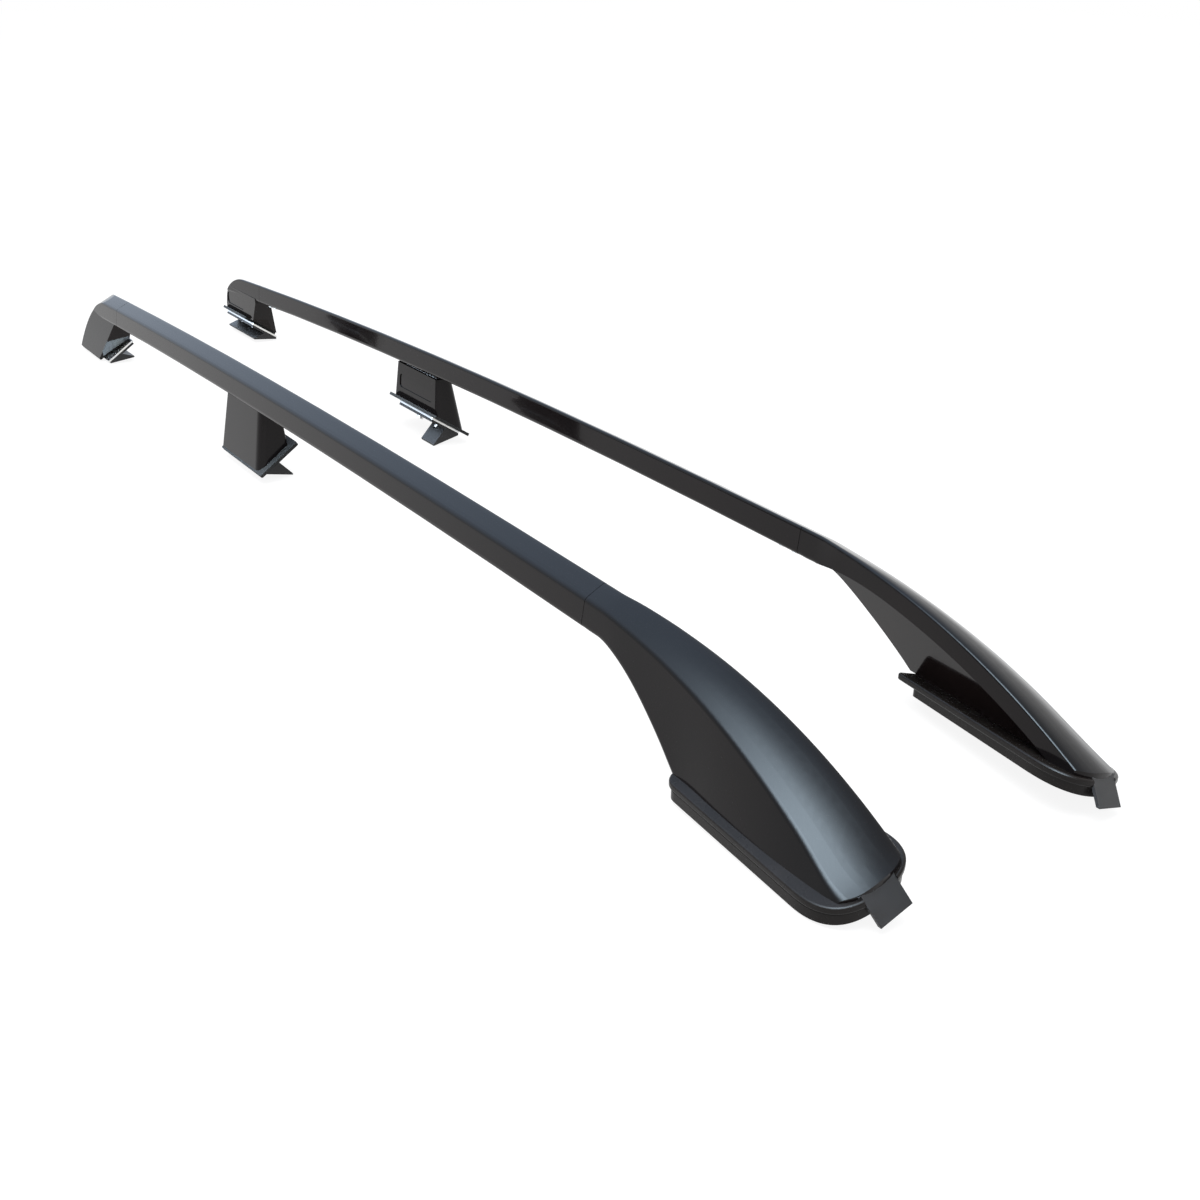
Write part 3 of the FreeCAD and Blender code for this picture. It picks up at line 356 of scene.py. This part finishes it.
def floor_plate():
    mesh = bpy.data.meshes.new("floor")
    signs = ((-1, -1), (1, -1), (1, 1), (-1, 1))
    mesh.from_pydata([(FLOOR_HALF * x, FLOOR_HALF * y, 0.0) for x, y in signs], [], [(0, 1, 2, 3)])
    mesh.materials.append(floor_material())
    made = bpy.data.objects.new("floor", mesh)
    made.location.z = FLOOR_LEVEL
    bpy.context.scene.collection.objects.link(made)
    return made


floor = floor_plate()


# World: white as the background, an even grey as soft light, and brighter sky that the gloss picks up


def studio_world():
    world = bpy.data.worlds.new("studio")
    world.use_nodes = True
    graph = Graph(world.node_tree)
    direction = graph.node("ShaderNodeTexCoord").outputs["Generated"]
    glossy = graph.node("ShaderNodeLightPath").outputs["Is Glossy Ray"]
    light = graph.mix(graph.background_rays(), EVEN_GREY, WHITE)
    for centre, sharpness, colour in SKY_PATCHES:
        share = graph.math("MULTIPLY", glossy, graph.lobe(direction, centre, sharpness))
        light = graph.add_light(light, share, colour)
    back = graph.node("ShaderNodeBackground")
    graph.link(light, back.inputs["Color"])
    out = graph.node("ShaderNodeOutputWorld")
    graph.link(back.outputs["Background"], out.inputs["Surface"])
    return world


def overhead_lamp():
    """Soft lamp above the object, left out of the gloss, which has the sky instead."""
    lamp = bpy.data.lights.new("overhead", "AREA")
    lamp.shape = "SQUARE"
    lamp.size = LAMP_SIDE
    lamp.energy = LAMP_POWER
    lamp.color = LAMP_COLOUR
    made = bpy.data.objects.new("overhead", lamp)
    made.location = LAMP_PLACE
    made.rotation_euler = (LAMP_AIM - LAMP_PLACE).to_track_quat("-Z", "Y").to_euler()
    made.visible_glossy = False
    bpy.context.scene.collection.objects.link(made)


def photo_camera():
    lens = bpy.data.cameras.new("camera")
    lens.sensor_fit = "HORIZONTAL"
    lens.sensor_width = SENSOR_WIDTH
    lens.lens = SENSOR_WIDTH * FOCAL_PIXELS / PHOTO_SIZE
    lens.shift_x = SHIFT_PIXELS / PHOTO_SIZE
    lens.clip_end = CLIP_END
    made = bpy.data.objects.new("camera", lens)
    axes = Matrix((CAMERA_RIGHT, -CAMERA_DOWN, -CAMERA_FORWARD)).transposed()
    made.matrix_world = Matrix.Translation(CAMERA_PLACE) @ axes.to_4x4()
    bpy.context.scene.collection.objects.link(made)
    return made


bpy.context.scene.world = studio_world()
overhead_lamp()
bpy.context.scene.camera = photo_camera()
bpy.context.scene.view_settings.view_transform = "Standard"
